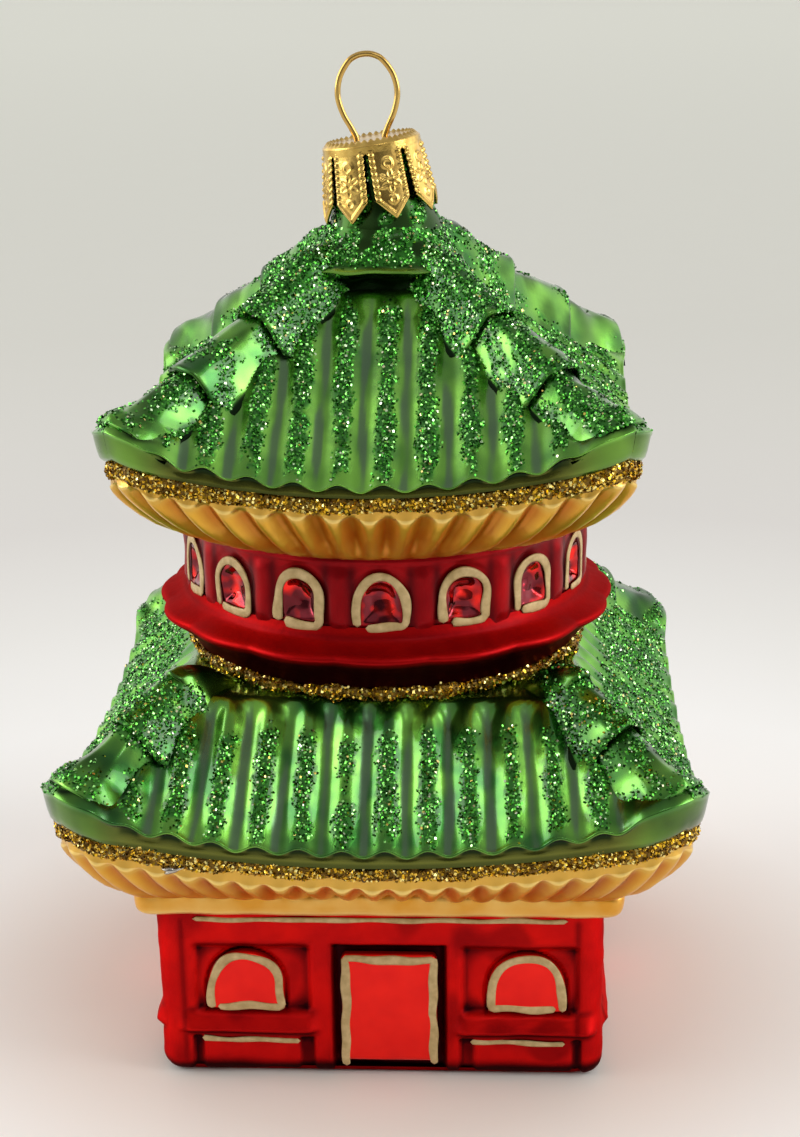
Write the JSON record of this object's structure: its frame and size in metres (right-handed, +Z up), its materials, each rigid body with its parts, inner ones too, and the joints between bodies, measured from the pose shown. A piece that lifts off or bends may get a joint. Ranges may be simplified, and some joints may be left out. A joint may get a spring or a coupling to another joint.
{
  "type": "blown-glass pagoda tree ornament",
  "caption": "Blown-glass tree ornament shaped as a two-storey pagoda: green tiled roofs with turned-up corners, round red drum, square red base, pressed gold cap and wire hanging loop.",
  "frame": {"origin": "centre of the underside, where the ornament stands on its base", "axes": "+Z up through the hanging loop; the front with its door faces -Y"},
  "size_m": [0.0814, 0.0814, 0.127],
  "materials": {
    "green_mirror": "green lacquer over silvered glass, with green glitter on the tile ribs",
    "red_satin": "satin dark red lacquer over silvered glass",
    "red_gloss": "glossy bright red lacquer with hand-painted cream outlines",
    "orange_pearl": "pearly orange-gold lacquer",
    "cream_gold": "pale gold lacquer",
    "gold_glitter": "coarse gold glitter in clear glue",
    "gold_metal": "thin pressed sheet and wire, pale gold"
  },
  "bodies": {
    "root": {"back_door": "red_gloss", "back_left_window": "red_gloss", "back_right_window": "red_gloss", "back_wall": "red_satin", "base_floor": "red_satin", "cap": "gold_metal", "cornice": "cream_gold", "drum_skirt": "red_satin", "drum_wall": "red_satin", "foot_glitter_ring": "gold_glitter", "front_door": "red_gloss", "front_left_window": "red_gloss", "front_right_window": "red_gloss", "front_wall": "red_satin", "hanging_loop": "gold_metal", "left_door": "red_gloss", "left_left_window": "red_gloss", "left_right_window": "red_gloss", "left_wall": "red_satin", "lower_glitter_band": "gold_glitter", "lower_hip_back_left": "green_mirror", "lower_hip_back_right": "green_mirror", "lower_hip_front_left": "green_mirror", "lower_hip_front_right": "green_mirror", "lower_roof": "green_mirror", "lower_soffit": "orange_pearl", "neck": "green_mirror", "right_door": "red_gloss", "right_left_window": "red_gloss", "right_right_window": "red_gloss", "right_wall": "red_satin", "roof_collar": "green_mirror", "upper_glitter_band": "gold_glitter", "upper_hip_back_left": "green_mirror", "upper_hip_back_right": "green_mirror", "upper_hip_front_left": "green_mirror", "upper_hip_front_right": "green_mirror", "upper_roof": "green_mirror", "upper_soffit": "orange_pearl"}
  },
  "joints": []
}
